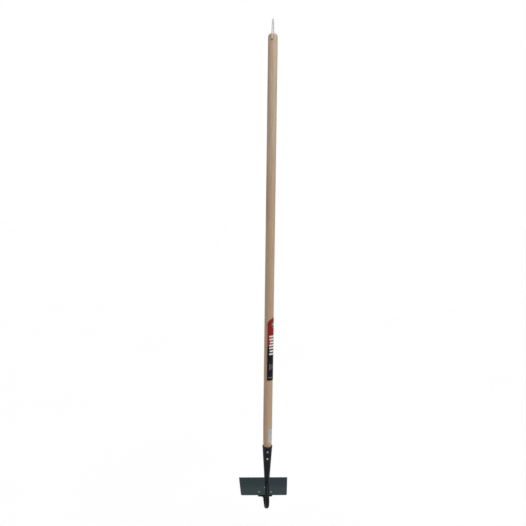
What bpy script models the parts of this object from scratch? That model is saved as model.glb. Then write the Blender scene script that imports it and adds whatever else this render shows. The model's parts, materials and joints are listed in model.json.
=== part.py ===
"""Draw hoe: ash shaft with a wire hanging loop, forged socket and swan neck, riveted plate blade.

Metres, +Z up along the shaft with the head at the bottom. The blade reaches away along +Y.
The origin is the point inside the top of the hanging loop where a hook carries the hoe.
"""

import math

import bmesh
import bpy
from mathutils import Matrix, Vector

# Clearance between pieces that touch
GAP = 0.0003

# Hanging loop: bent wire whose turned-in ends sit in the shaft's cross hole
WIRE_RADIUS = 0.0016
LOOP_RISE = 0.0590
LOOP_TOP_HALF_WIDTH = 0.0115
LOOP_TOP_BEND = 0.0070
LOOP_TWIST = math.radians(5)
LOOP_FOOT_BEND = 0.0040
LOOP_FOOT_RISE = 0.0160
LOOP_END_DEPTH = 0.0095
LOOP_SIDE_GAP = 0.0006
CROSS_HOLE_RADIUS = 0.0024
CROSS_HOLE_BELOW_TOP = 0.018
CROSS_HOLE_TURN = math.radians(14)

# Shaft
SHAFT_RADIUS = 0.01425
SHAFT_VISIBLE = 1.260
SHAFT_IN_SOCKET = 0.098
SHAFT_CROWN = 0.0100
SHAFT_TAPER_START = 0.060
SHAFT_RIM_RADIUS = 0.01325
SHAFT_END_RADIUS = 0.0068
SHAFT_SIDES = 48

# Socket, measured down from its rim
SOCKET_RIM_RADIUS = 0.0160
SOCKET_LIP_HEIGHT = 0.0095
SOCKET_LIP_RADIUS = 0.0152
SOCKET_BORE_END = 0.0990
SOCKET_END = 0.1040
SOCKET_RING_DEPTHS = (0.0, 0.0032, SOCKET_LIP_HEIGHT, 0.047, 0.083)
SOCKET_END_RADIUS = 0.0089
FORGING_SIDES = 32

# Swan neck: down, forward, round and back to the palm
NECK_LEAN_RADIUS = 0.034
NECK_TURN_RADIUS = 0.020
NECK_REACH = 0.048
NECK_TURN_HEIGHT = 0.165
NECK_STEP = math.radians(9)
NECK_BAR_HALF = 0.0066
NECK_FOOT_HALF_WIDTH = 0.0070
NECK_FOOT_HALF_THICKNESS = 0.0058
STRAP_HALF_WIDTH = 0.0068
STRAP_HALF_THICKNESS = 0.0038
STRAP_TIP_HALF_THICKNESS = 0.0019
STRAP_TIP_RUN = 0.024
HEAD_OFFSET = -0.0045

# Palm under the blade
PALM_THICKNESS = 0.0046
PALM_WIDTH = 0.047
PALM_CORNER = 0.004
PALM_NOSE_RADIUS = 0.009

# Blade, measured from its back edge
BLADE_BACK_Y = 0.014
BLADE_BACK_DROP = 0.1760
BLADE_THICKNESS = 0.0024
BLADE_BACK_WIDTH = 0.1490
BLADE_EDGE_WIDTH = 0.1650
BLADE_SHIFT = -0.0038
BLADE_INNER = 0.047
BLADE_CREASE_RADIUS = 0.030
BLADE_OUTER = 0.037
BLADE_RISE = math.radians(4)
BLADE_TURN_UP = math.radians(8)
BLADE_CORNER = 0.005
BLADE_BEVEL = 0.005
BLADE_EDGE_THICKNESS = 0.0008

# Rivets
RIVET_RADIUS = 0.0022
RIVET_HEAD_RADIUS = 0.0032
RIVET_HEAD_HEIGHT = 0.0016
BLADE_RIVET_HEAD_HEIGHT = 0.0013
RIVET_FOOT_RADIUS = 0.0030
RIVET_FOOT_HEIGHT = 0.0011
RIVET_SIDES = 24
DRILL_LENGTH = 0.050
SOCKET_RIVETS = {"socket_rivet_upper": 0.0145, "socket_rivet_lower": 0.0380}
BLADE_RIVET_SPREAD = 0.0197
BLADE_RIVET_BACK = 0.0135
BLADE_RIVET_FRONT = 0.0365

# Stickers on the shaft, as angles round it from -Y towards +X and heights above the rim
PAPER = 0.00025
LABEL_ANGLES = (math.radians(-22.5), math.radians(157.5))
LABEL_HEIGHTS = (0.2185, 0.4165)
TICKET_ANGLES = (math.radians(8.5), math.radians(64.5))
TICKET_HEIGHTS = (0.015, 0.0595)
TICKET_CORNER = 0.001
PAPER_STEP = math.radians(7.5)

# Heights that follow from the above
HINGE_Z = WIRE_RADIUS - LOOP_RISE
SHAFT_TOP_Z = HINGE_Z + CROSS_HOLE_BELOW_TOP
RIM_Z = SHAFT_TOP_Z - SHAFT_VISIBLE
BLADE_CREASE = BLADE_CREASE_RADIUS * BLADE_TURN_UP
BLADE_DEPTH = BLADE_INNER + BLADE_CREASE + BLADE_OUTER


def clear_scene():
    for obj in list(bpy.data.objects):
        bpy.data.objects.remove(obj, do_unlink=True)


def material(name, color, roughness, metallic=0.0):
    made = bpy.data.materials.new(name)
    made.use_nodes = True
    shader = made.node_tree.nodes["Principled BSDF"]
    shader.inputs["Base Color"].default_value = (*color, 1.0)
    shader.inputs["Roughness"].default_value = roughness
    shader.inputs["Metallic"].default_value = metallic
    return made


def add_object(name, mesh, finish, sharp=math.radians(35)):
    """Link a mesh as a smooth-shaded object with its own finish."""
    mesh.shade_smooth()
    mesh.set_sharp_from_angle(angle=sharp)
    mesh.materials.append(finish)
    obj = bpy.data.objects.new(name, mesh)
    bpy.context.scene.collection.objects.link(obj)
    return obj


def mesh_from(name, bm):
    mesh = bpy.data.meshes.new(name)
    bm.to_mesh(mesh)
    bm.free()
    return mesh


def turned_mesh(name, profile, sides):
    """Turn a closed (radius, height) profile, both ends on the axis, about Z."""
    bm = bmesh.new()
    verts = [bm.verts.new((radius, 0.0, height)) for radius, height in profile]
    for first, second in zip(verts, verts[1:]):
        bm.edges.new((first, second))
    bmesh.ops.spin(
        bm,
        geom=bm.verts[:] + bm.edges[:],
        cent=(0, 0, 0),
        axis=(0, 0, 1),
        angle=math.tau,
        steps=sides,
        use_merge=True,
    )
    bmesh.ops.remove_doubles(bm, verts=bm.verts, dist=1e-6)
    bmesh.ops.recalc_face_normals(bm, faces=bm.faces)
    return mesh_from(name, bm)


def lofted_mesh(name, rings):
    """Skin a row of equal rings of points and close both ends."""
    bm = bmesh.new()
    loops = [[bm.verts.new(point) for point in ring] for ring in rings]
    for lower, upper in zip(loops, loops[1:]):
        for i in range(len(lower)):
            j = (i + 1) % len(lower)
            bm.faces.new((lower[i], lower[j], upper[j], upper[i]))
    bm.faces.new(loops[0])
    bm.faces.new(loops[-1])
    bmesh.ops.recalc_face_normals(bm, faces=bm.faces)
    return mesh_from(name, bm)


def arc(center, radius, start, end, steps):
    """Points on an arc in a plane, both ends included."""
    angles = [start + (end - start) * i / steps for i in range(steps + 1)]
    return [(center[0] + radius * math.cos(a), center[1] + radius * math.sin(a)) for a in angles]


def cut_with(obj, cutter):
    """Subtract a helper shape, which stays in the scene as a wire."""
    cutter.hide_render = True
    cutter.display_type = "WIRE"
    modifier = obj.modifiers.new(f"cut_{cutter.name}", "BOOLEAN")
    modifier.operation = "DIFFERENCE"
    modifier.object = cutter


def drill(name, radius, place, finish):
    """A round cutter whose own Z lies along the hole."""
    half = DRILL_LENGTH / 2
    profile = [(0, half), (radius, half), (radius, -half), (0, -half)]
    cutter = add_object(name, turned_mesh(name, profile, RIVET_SIDES), finish)
    cutter.matrix_world = place
    return cutter


def facing(direction, center):
    """Placement at a point, with local Z along a direction."""
    return Matrix.Translation(center) @ direction.to_track_quat("Z", "Y").to_matrix().to_4x4()


def shaft_radius(height):
    """The shaft's radius at a height above the socket's rim, or below it where negative."""
    if height >= SHAFT_TAPER_START:
        return SHAFT_RADIUS
    if height >= 0:
        return SHAFT_RIM_RADIUS + (SHAFT_RADIUS - SHAFT_RIM_RADIUS) * height / SHAFT_TAPER_START
    return SHAFT_RIM_RADIUS + (SHAFT_RIM_RADIUS - SHAFT_END_RADIUS) * height / SHAFT_IN_SOCKET


def socket_radius(depth):
    """The socket's outer radius at a depth below its rim."""
    if depth < SOCKET_LIP_HEIGHT:
        return SOCKET_RIM_RADIUS + (SOCKET_LIP_RADIUS - SOCKET_RIM_RADIUS) * depth / SOCKET_LIP_HEIGHT
    share = (depth - SOCKET_LIP_HEIGHT) / (SOCKET_END - SOCKET_LIP_HEIGHT)
    return SOCKET_LIP_RADIUS + (SOCKET_END_RADIUS - SOCKET_LIP_RADIUS) * share


def blade_point(x, along, lift):
    """A point on the bent blade: along from its back edge, lift above its underside."""
    angle = BLADE_RISE
    y = BLADE_BACK_Y
    z = RIM_Z - BLADE_BACK_DROP
    flat = min(along, BLADE_INNER)
    y += flat * math.cos(angle)
    z += flat * math.sin(angle)
    bent = min(max(along - BLADE_INNER, 0.0), BLADE_CREASE)
    if bent > 0:
        turned = angle + bent / BLADE_CREASE_RADIUS
        y += BLADE_CREASE_RADIUS * (math.sin(turned) - math.sin(angle))
        z += BLADE_CREASE_RADIUS * (math.cos(angle) - math.cos(turned))
        angle = turned
    outer = max(along - BLADE_INNER - BLADE_CREASE, 0.0)
    y += outer * math.cos(angle)
    z += outer * math.sin(angle)
    normal = Vector((0.0, -math.sin(angle), math.cos(angle)))
    return Vector((HEAD_OFFSET + x, y, z)) + normal * lift


def make_shaft(finish, hole_finish):
    height = SHAFT_TOP_Z - RIM_Z
    crown = arc((SHAFT_RADIUS - SHAFT_CROWN, height - SHAFT_CROWN), SHAFT_CROWN, math.pi / 2, 0, 7)
    profile = [(0.0, height), *crown]
    profile += [(shaft_radius(h), h) for h in (height / 2, SHAFT_TAPER_START, 0.0, -SHAFT_IN_SOCKET)]
    profile.append((0.0, -SHAFT_IN_SOCKET))
    obj = add_object("shaft", turned_mesh("shaft", profile, SHAFT_SIDES), finish)
    obj.location.z = RIM_Z
    across = Vector((math.sin(CROSS_HOLE_TURN), math.cos(CROSS_HOLE_TURN), 0.0))
    place = facing(across, Vector((0, 0, HINGE_Z)))
    cut_with(obj, drill("cross_hole", CROSS_HOLE_RADIUS, place, hole_finish))
    for name, depth in SOCKET_RIVETS.items():
        place = facing(Vector((0, 1, 0)), Vector((0, 0, RIM_Z - depth)))
        cutter = drill(f"{name}_shaft_hole", RIVET_RADIUS + GAP, place, hole_finish)
        cut_with(obj, cutter)


def loop_side():
    """Centre line of one half of the loop, from its end in the hole to the middle of its top."""
    leg = SHAFT_RADIUS + LOOP_SIDE_GAP + WIRE_RADIUS
    top = LOOP_RISE
    points = [(SHAFT_RADIUS - LOOP_END_DEPTH, 0.0)]
    points += arc((leg - LOOP_FOOT_BEND, LOOP_FOOT_BEND), LOOP_FOOT_BEND, -math.pi / 2, 0, 5)
    points.append((leg, LOOP_FOOT_RISE))
    center = (LOOP_TOP_HALF_WIDTH - LOOP_TOP_BEND, top - LOOP_TOP_BEND)
    points += arc(center, LOOP_TOP_BEND, 0, math.pi / 2, 8)
    points.append((0.0, top))
    return points


def make_hanging_loop(finish):
    side = loop_side()
    line = side + [(-y, z) for y, z in reversed(side[:-1])]
    curve = bpy.data.curves.new("hanging_loop", "CURVE")
    curve.dimensions = "3D"
    curve.bevel_depth = WIRE_RADIUS
    curve.bevel_resolution = 3
    curve.use_fill_caps = True
    curve.materials.append(finish)
    spline = curve.splines.new("POLY")
    spline.points.add(len(line) - 1)
    for point, (y, z) in zip(spline.points, line):
        point.co = (-y * math.sin(LOOP_TWIST) * z / LOOP_RISE, y, z, 1.0)
    spline.use_smooth = True
    obj = bpy.data.objects.new("hanging_loop", curve)
    bpy.context.scene.collection.objects.link(obj)
    hinge = bpy.data.objects.new("loop_hinge", None)
    bpy.context.scene.collection.objects.link(hinge)
    hinge.location = (0, 0, HINGE_Z)
    hinge.rotation_euler.z = -CROSS_HOLE_TURN
    obj.parent = hinge


def neck_stations():
    """Centre line of the neck as (y, z, heading, stage), heading from -Z towards -Y.

    The stage runs 0 to 1 round the forward lean, 1 to 2 to the front, 2 to 3 round the
    turn's foot, 3 to 4 along the strap and 4 to 5 under the palm.
    """
    lean_center = Vector((-NECK_LEAN_RADIUS, RIM_Z - SOCKET_END))
    turn_center = Vector((NECK_TURN_RADIUS - NECK_REACH, RIM_Z - NECK_TURN_HEIGHT))
    radii = NECK_LEAN_RADIUS + NECK_TURN_RADIUS
    across = turn_center - lean_center
    straight = math.sqrt(across.length_squared - radii**2)
    lean = math.atan2(-straight, radii) - math.atan2(across.y, across.x)
    stations = []
    steps = math.ceil(lean / NECK_STEP)
    for i in range(steps + 1):
        angle = lean * i / steps
        spoke = Vector((math.cos(angle), -math.sin(angle)))
        stations.append((*(lean_center + NECK_LEAN_RADIUS * spoke), angle, i / steps))
    for i in range(steps + 1):
        angle = lean * (1 - i / steps)
        spoke = Vector((-math.cos(angle), math.sin(angle)))
        stations.append((*(turn_center + NECK_TURN_RADIUS * spoke), angle, 1 + (i + 1) / (steps + 1)))
    depth = GAP + PALM_THICKNESS / 2
    palm_start = blade_point(0, 0, -depth - STRAP_HALF_THICKNESS + 0.45 * PALM_THICKNESS).yz
    to_palm = palm_start - turn_center
    rise = math.atan2(to_palm.y, to_palm.x) + math.asin(NECK_TURN_RADIUS / to_palm.length)
    turn = math.pi / 2 + rise
    steps = math.ceil(turn / NECK_STEP)
    for i in range(1, steps + 1):
        angle = -turn * i / steps
        spoke = Vector((-math.cos(angle), math.sin(angle)))
        stations.append((*(turn_center + NECK_TURN_RADIUS * spoke), angle, 2 + i / steps))
    strap_start = Vector(stations[-1][:2])
    for i in range(1, 4):
        stations.append((*strap_start.lerp(palm_start, i / 3), -turn, 3 + i / 3))
    palm_end = blade_point(0, STRAP_TIP_RUN, -depth).yz
    for i in range(1, 3):
        heading = -math.pi / 2 - BLADE_RISE
        stations.append((*palm_start.lerp(palm_end, i / 2), heading, 4 + i / 2))
    return stations


def neck_section(stage):
    """Half width, half thickness and sideways drift of the neck at a stage of its centre line."""
    marks = (
        (SOCKET_END_RADIUS, SOCKET_END_RADIUS, 0.0),
        (NECK_BAR_HALF, NECK_BAR_HALF, 0.0),
        (NECK_BAR_HALF, NECK_BAR_HALF, 0.0),
        (NECK_FOOT_HALF_WIDTH, NECK_FOOT_HALF_THICKNESS, 0.6 * HEAD_OFFSET),
        (STRAP_HALF_WIDTH, STRAP_HALF_THICKNESS, HEAD_OFFSET),
        (STRAP_HALF_WIDTH, STRAP_TIP_HALF_THICKNESS, HEAD_OFFSET),
    )
    first = min(int(stage), len(marks) - 2)
    share = stage - first
    share = share * share * (3 - 2 * share)
    return [a + (b - a) * share for a, b in zip(marks[first], marks[first + 1])]


def ring(center, wide, thick, across, out):
    """One oval ring of points round a centre, squarer the flatter it is."""
    power = 1.0 - 0.25 * (1.0 - thick / wide)
    points = []
    for i in range(FORGING_SIDES):
        angle = math.tau * i / FORGING_SIDES
        cos, sin = math.cos(angle), math.sin(angle)
        side = math.copysign(abs(cos) ** power, cos) * wide
        lift = math.copysign(abs(sin) ** power, sin) * thick
        points.append(center + across * side + out * lift)
    return points


def make_socket_neck(finish, hole_finish):
    across = Vector((1, 0, 0))
    rings = []
    bore = ((SOCKET_BORE_END, SHAFT_END_RADIUS + GAP), (0.0, SHAFT_RIM_RADIUS + GAP))
    for depth, radius in bore:
        rings.append(ring(Vector((0, 0, RIM_Z - depth)), radius, radius, across, Vector((0, -1, 0))))
    for depth in SOCKET_RING_DEPTHS:
        radius = socket_radius(depth)
        rings.append(ring(Vector((0, 0, RIM_Z - depth)), radius, radius, across, Vector((0, -1, 0))))
    for y, z, heading, stage in neck_stations():
        wide, thick, drift = neck_section(stage)
        out = Vector((0, -math.cos(heading), math.sin(heading)))
        rings.append(ring(Vector((drift, y, z)), wide, thick, across, out))
    obj = add_object("socket_neck", lofted_mesh("socket_neck", rings), finish)
    palm = make_palm_blank(finish)
    join = obj.modifiers.new("palm", "BOOLEAN")
    join.operation = "UNION"
    join.object = palm
    for name, depth in SOCKET_RIVETS.items():
        place = facing(Vector((0, 1, 0)), Vector((0, 0, RIM_Z - depth)))
        cutter = drill(f"{name}_socket_hole", RIVET_RADIUS + GAP, place, hole_finish)
        cut_with(obj, cutter)
    for name, x, along in blade_rivets():
        place = rivet_place(x, along)
        cut_with(obj, drill(f"{name}_palm_hole", RIVET_RADIUS + GAP, place, hole_finish))


def flat_blank(outline, thickness, cuts, bend):
    """Extrude a flat outline, slice it at the given lines along its first or second axis, then bend it."""
    bm = bmesh.new()
    face = bm.faces.new([bm.verts.new((a, b, 0.0)) for a, b in outline])
    raised = bmesh.ops.extrude_face_region(bm, geom=[face])
    tops = [v for v in raised["geom"] if isinstance(v, bmesh.types.BMVert)]
    bmesh.ops.translate(bm, verts=tops, vec=(0, 0, thickness))
    for axis, place in cuts:
        normal = (1, 0, 0) if axis == 0 else (0, 1, 0)
        bmesh.ops.bisect_plane(
            bm,
            geom=bm.verts[:] + bm.edges[:] + bm.faces[:],
            dist=1e-6,
            plane_co=Vector(normal) * place,
            plane_no=normal,
        )
    bmesh.ops.recalc_face_normals(bm, faces=bm.faces)
    for vert in bm.verts:
        vert.co = bend(*vert.co)
    return bm


def rounded_corners(corners, radii, steps=5):
    """A closed outline through corners, each rounded by its own radius; 0 leaves it sharp."""
    outline = []
    for i, (corner, radius) in enumerate(zip(corners, radii)):
        here = Vector(corner)
        if radius == 0:
            outline.append(here)
            continue
        back = (Vector(corners[i - 1]) - here).normalized()
        ahead = (Vector(corners[(i + 1) % len(corners)]) - here).normalized()
        half = back.angle(ahead) / 2
        center = here + (back + ahead).normalized() * (radius / math.sin(half))
        start = (here + back * (radius / math.tan(half)) - center).normalized()
        end = (here + ahead * (radius / math.tan(half)) - center).normalized()
        for k in range(steps + 1):
            outline.append(center + start.slerp(end, k / steps) * radius)
    return [tuple(point) for point in outline]


def make_palm_blank(finish):
    half = PALM_WIDTH / 2
    nose = BLADE_RIVET_FRONT + PALM_NOSE_RADIUS
    shoulder = BLADE_RIVET_BACK + PALM_CORNER
    corners = [(-half, 0), (half, 0), (half, shoulder), (PALM_NOSE_RADIUS, nose)]
    corners += [(-PALM_NOSE_RADIUS, nose), (-half, shoulder)]
    radii = [PALM_CORNER / 2, PALM_CORNER / 2, PALM_CORNER, PALM_CORNER, PALM_CORNER, PALM_CORNER]

    def bend(x, along, lift):
        return blade_point(x, along, lift - GAP - PALM_THICKNESS)

    bm = flat_blank(rounded_corners(corners, radii), PALM_THICKNESS, [], bend)
    obj = add_object("palm_blank", mesh_from("palm_blank", bm), finish)
    obj.hide_render = True
    obj.display_type = "WIRE"
    return obj


def make_blade(finish, hole_finish):
    back, edge = BLADE_BACK_WIDTH / 2, BLADE_EDGE_WIDTH / 2
    corners = [(-back, 0), (back, 0), (edge, BLADE_DEPTH), (-edge, BLADE_DEPTH)]
    corners = [(x + BLADE_SHIFT, along) for x, along in corners]
    outline = rounded_corners(corners, [BLADE_CORNER, BLADE_CORNER, 0, 0])
    bevel_start = BLADE_DEPTH - BLADE_BEVEL

    def bend(x, along, lift):
        if along > bevel_start and lift == 0:
            share = (along - bevel_start) / BLADE_BEVEL
            lift = (BLADE_THICKNESS - BLADE_EDGE_THICKNESS) * share
        return blade_point(x, along, lift)

    cuts = [(1, BLADE_INNER + BLADE_CREASE * i / 4) for i in range(5)] + [(1, bevel_start)]
    bm = flat_blank(outline, BLADE_THICKNESS, cuts, bend)
    obj = add_object("blade", mesh_from("blade", bm), finish, math.radians(12))
    for name, x, along in blade_rivets():
        place = rivet_place(x, along)
        cut_with(obj, drill(f"{name}_blade_hole", RIVET_RADIUS + GAP, place, hole_finish))


def blade_rivets():
    """(name, distance from the blade's middle, distance from its back edge) of each blade rivet."""
    return (
        ("blade_rivet_left", -BLADE_RIVET_SPREAD, BLADE_RIVET_BACK),
        ("blade_rivet_right", BLADE_RIVET_SPREAD, BLADE_RIVET_BACK),
        ("blade_rivet_front", 0.0, BLADE_RIVET_FRONT),
    )


def rivet_place(x, along):
    """Placement on the blade's underside with local Z along its outward upper normal."""
    up = blade_point(x, along, 1.0) - blade_point(x, along, 0.0)
    return facing(up, blade_point(x, along, 0.0))


def rivet_profile(grip, head_height):
    """A rivet's half outline, from its domed head down a grip to its hammered foot."""
    profile = [(0.0, head_height)]
    for i in range(1, 5):
        angle = math.pi / 2 * (1 - i / 4)
        profile.append((RIVET_HEAD_RADIUS * math.cos(angle), head_height * math.sin(angle)))
    profile.append((RIVET_RADIUS, 0.0))
    profile.append((RIVET_RADIUS, -grip))
    profile.append((RIVET_FOOT_RADIUS, -grip))
    profile.append((0.85 * RIVET_FOOT_RADIUS, -grip - 0.7 * RIVET_FOOT_HEIGHT))
    profile.append((0.0, -grip - RIVET_FOOT_HEIGHT))
    return profile


def make_rivets(finish):
    for name, depth in SOCKET_RIVETS.items():
        reach = socket_radius(depth - RIVET_HEAD_RADIUS) + GAP
        profile = rivet_profile(2 * reach, RIVET_HEAD_HEIGHT)
        obj = add_object(name, turned_mesh(name, profile, RIVET_SIDES), finish)
        obj.matrix_world = facing(Vector((0, -1, 0)), Vector((0, -reach, RIM_Z - depth)))
    profile = rivet_profile(BLADE_THICKNESS + PALM_THICKNESS + 3 * GAP, BLADE_RIVET_HEAD_HEIGHT)
    lift = Matrix.Translation((0, 0, BLADE_THICKNESS + GAP))
    for name, x, along in blade_rivets():
        obj = add_object(name, turned_mesh(name, profile, RIVET_SIDES), finish)
        obj.matrix_world = rivet_place(x, along) @ lift


def make_sticker(name, angles, heights, corner_radii, finish):
    """A thin sheet wrapped on the shaft; its outline is laid out flat, as angle times radius by height."""
    left, right = (angle * SHAFT_RADIUS for angle in angles)
    low, high = heights
    corners = [(left, low), (right, low), (right, high), (left, high)]
    outline = rounded_corners(corners, corner_radii, 10)

    def bend(across, height, lift):
        angle = across / SHAFT_RADIUS
        radius = shaft_radius(height) + GAP + lift
        return Vector((radius * math.sin(angle), -radius * math.cos(angle), RIM_Z + height))

    steps = round((angles[1] - angles[0]) / PAPER_STEP)
    cuts = [(0, left + (right - left) * i / steps) for i in range(1, steps)]
    bm = flat_blank(outline, PAPER, cuts, bend)
    add_object(name, mesh_from(name, bm), finish)


def main():
    clear_scene()
    hole = material("hole_cutter", (0.5, 0.5, 0.5), 0.5)
    make_shaft(material("ash_wood", (0.49, 0.37, 0.27), 0.55), hole)
    make_hanging_loop(material("galvanised_wire", (0.62, 0.62, 0.62), 0.35, 1.0))
    make_socket_neck(material("black_enamel", (0.018, 0.019, 0.023), 0.35), hole)
    make_blade(material("hammer_green_enamel", (0.045, 0.062, 0.063), 0.4), hole)
    make_rivets(material("zinc_rivet", (0.45, 0.45, 0.44), 0.4, 1.0))
    label_top = (LABEL_ANGLES[1] - LABEL_ANGLES[0]) * SHAFT_RADIUS / 2 - 0.0002
    red = material("label_film", (0.30, 0.02, 0.015), 0.3)
    make_sticker("shaft_label", LABEL_ANGLES, LABEL_HEIGHTS, [0, 0, label_top, label_top], red)
    paper = material("ticket_paper", (0.45, 0.43, 0.42), 0.6)
    make_sticker("price_sticker", TICKET_ANGLES, TICKET_HEIGHTS, [TICKET_CORNER] * 4, paper)


main()
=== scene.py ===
"""Long-handled draw hoe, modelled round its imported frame.

Metres, +Z up along the shaft with the head at the bottom, and the blade reaching away along +Y.
"""

import json
import math

import bmesh
import bpy
from bpy.props import FloatProperty, FloatVectorProperty, PointerProperty
from mathutils import Matrix, Vector, noise


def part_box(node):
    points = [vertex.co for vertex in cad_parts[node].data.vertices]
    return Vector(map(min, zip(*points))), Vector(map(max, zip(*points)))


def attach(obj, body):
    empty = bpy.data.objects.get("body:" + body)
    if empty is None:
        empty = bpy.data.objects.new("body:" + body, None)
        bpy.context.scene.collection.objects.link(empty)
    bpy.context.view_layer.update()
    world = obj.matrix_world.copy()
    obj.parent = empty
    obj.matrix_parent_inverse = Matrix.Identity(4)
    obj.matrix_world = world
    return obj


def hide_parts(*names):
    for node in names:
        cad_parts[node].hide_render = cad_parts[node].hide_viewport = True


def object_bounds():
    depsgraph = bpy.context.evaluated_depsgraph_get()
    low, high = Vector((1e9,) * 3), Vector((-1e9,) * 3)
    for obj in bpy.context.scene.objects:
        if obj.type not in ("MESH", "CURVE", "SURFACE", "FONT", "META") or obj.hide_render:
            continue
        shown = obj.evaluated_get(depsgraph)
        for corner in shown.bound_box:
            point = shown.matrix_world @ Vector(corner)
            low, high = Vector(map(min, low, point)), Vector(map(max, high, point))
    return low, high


bl_info = {
    "name": "Draw Hoe",
    "version": (1, 0, 0),
    "blender": (4, 5, 0),
    "location": "3D View > Sidebar > Draw Hoe",
    "description": "Models a long-handled draw hoe round its packed frame",
    "category": "Object",
}

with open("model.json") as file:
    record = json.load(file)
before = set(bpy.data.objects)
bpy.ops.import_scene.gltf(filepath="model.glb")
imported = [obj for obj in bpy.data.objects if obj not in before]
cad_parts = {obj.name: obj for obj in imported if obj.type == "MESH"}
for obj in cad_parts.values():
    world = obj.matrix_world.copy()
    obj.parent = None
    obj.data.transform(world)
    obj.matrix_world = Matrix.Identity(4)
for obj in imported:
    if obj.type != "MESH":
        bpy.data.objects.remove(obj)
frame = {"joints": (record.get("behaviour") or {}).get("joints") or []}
CAD_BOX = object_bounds()

# Places that the frame gives
HINGE = Vector(frame["joints"][0]["pos_m"])
HOLE_AXIS = Vector(frame["joints"][0]["axis"]).normalized()
SHAFT_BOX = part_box("shaft")
FORGING_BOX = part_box("socket_neck")
BLADE_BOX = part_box("blade")
RIM_Z = FORGING_BOX[1].z
SHAFT_TOP_Z = SHAFT_BOX[1].z
SHAFT_RADIUS = (SHAFT_BOX[1].x - SHAFT_BOX[0].x) / 2
SOCKET_RIM_RADIUS = 0.0160
BLADE_BACK_Y = 0.014
BLADE_BACK_Z = RIM_Z - 0.1760

# Clearance that the frame keeps between pieces that touch
GAP = 0.0003

# Shaft, in heights above the socket's rim
SHAFT_IN_SOCKET = RIM_Z - SHAFT_BOX[0].z
SHAFT_TAPER_START = 0.060
SHAFT_RIM_RADIUS = 0.01325
SHAFT_END_RADIUS = 0.0068
CROSS_HOLE_RADIUS = 0.0024
COUNTERSINK = 0.0005

# Socket, in depths below its rim
SOCKET_LIP_HEIGHT = 0.0095
SOCKET_LIP_RADIUS = 0.0152
SOCKET_BORE_END = 0.0990
SOCKET_END = 0.1040
SOCKET_END_RADIUS = 0.0089
SOCKET_EDGE = 0.0007

# Swan neck
NECK_LEAN_RADIUS = 0.034
NECK_TURN_RADIUS = 0.020
NECK_REACH = 0.048
NECK_TURN_HEIGHT = 0.165
HEAD_OFFSET = -0.0045
STRAP_HALF_WIDTH = 0.0068
STRAP_HALF_THICKNESS = 0.0038

# Palm
PALM_THICKNESS = 0.0046
PALM_HALF_WIDTH = 0.0235
PALM_LENGTH = 0.0455
RIB_LENGTH = 0.024

# Blade, measured along from its back edge
BLADE_RISE = math.radians(4)
BLADE_TURN_UP = math.radians(8)
BLADE_THICKNESS = 0.0024
BLADE_BACK_WIDTH = 0.1490
BLADE_EDGE_WIDTH = BLADE_BOX[1].x - BLADE_BOX[0].x
BLADE_SHIFT = (BLADE_BOX[0].x + BLADE_BOX[1].x) / 2 - HEAD_OFFSET
BLADE_INNER = 0.047
BLADE_CREASE_RADIUS = 0.030
BLADE_CREASE = BLADE_CREASE_RADIUS * BLADE_TURN_UP
BLADE_DEPTH = BLADE_INNER + BLADE_CREASE + 0.037
BLADE_CORNER = 0.005
BLADE_TIP_CORNER = 0.0006
BLADE_BEVEL = 0.005
BLADE_EDGE_THICKNESS = 0.0008

# Rivets
RIVET_RADIUS = 0.0022
RIVET_DRILL = RIVET_RADIUS + GAP
SOCKET_DRILL_HALF = 0.025
BLADE_DRILL_HALF = 0.02
RIVET_FOOT_HEIGHT = 0.0011
BLADE_RIVET_DOME = 0.0013
SOCKET_RIVETS = ("socket_rivet_upper", "socket_rivet_lower")
BLADE_RIVETS = {
    "blade_rivet_left": (-0.0197, 0.0135),
    "blade_rivet_right": (0.0197, 0.0135),
    "blade_rivet_front": (0.0, 0.0365),
}

# Label and ticket, as angles round the shaft
WRAP_ANGLES = {
    "shaft_label": (math.radians(-22.5), math.radians(157.5)),
    "price_sticker": (math.radians(8.5), math.radians(64.5)),
}
LABEL_CORNER = 0.0222
TICKET_CORNER = 0.001

# Stage
FLOOR_DROP = 0.45
FLOOR_HALF = 40.0
LENS = 34.905


# Settings


def length_setting(name, description, default, **limits):
    return FloatProperty(name=name, description=description, default=default, unit="LENGTH", **limits)


def angle_setting(name, description, default):
    return FloatProperty(name=name, description=description, default=default, subtype="ANGLE")


def color_setting(name, description, default):
    return FloatVectorProperty(name=name, description=description, default=default, subtype="COLOR")


class ShaftSettings(bpy.types.PropertyGroup):
    crown: length_setting(
        "Crown", "Radius of the rounding at the shaft's top", 0.010, min=0.002, max=SHAFT_RADIUS * 0.95
    )
    ring_width: length_setting(
        "Ring Width", "Spacing of the ash's growth rings", 0.0034, min=0.001, max=0.01
    )
    pale: color_setting("Late Wood", "Colour of the dense, pale wood", (0.520, 0.395, 0.285))
    dark: color_setting("Early Wood", "Colour of the open, darker wood", (0.375, 0.258, 0.172))


class LoopSettings(bpy.types.PropertyGroup):
    wire_radius: length_setting("Wire Radius", "Half the thickness of the loop's wire", 0.0016)
    half_width: length_setting("Half Width", "Half the width of the loop's top", 0.0115)
    top_bend: length_setting("Top Bend", "Bend radius at the loop's two upper corners", 0.0070)
    twist: angle_setting("Twist", "How far the loop's top is turned from its feet", math.radians(5))
    color: color_setting("Zinc", "Colour of the galvanised wire", (0.80, 0.80, 0.81))


class ForgingSettings(bpy.types.PropertyGroup):
    bar_half: length_setting("Neck Radius", "Half the thickness of the swan neck's bar", 0.0066)
    hammering: length_setting("Hammering", "Depth of the forging's hammered unevenness", 0.00018)
    color: color_setting("Enamel", "Colour of the black enamel", (0.0024, 0.0026, 0.0056))


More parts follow.
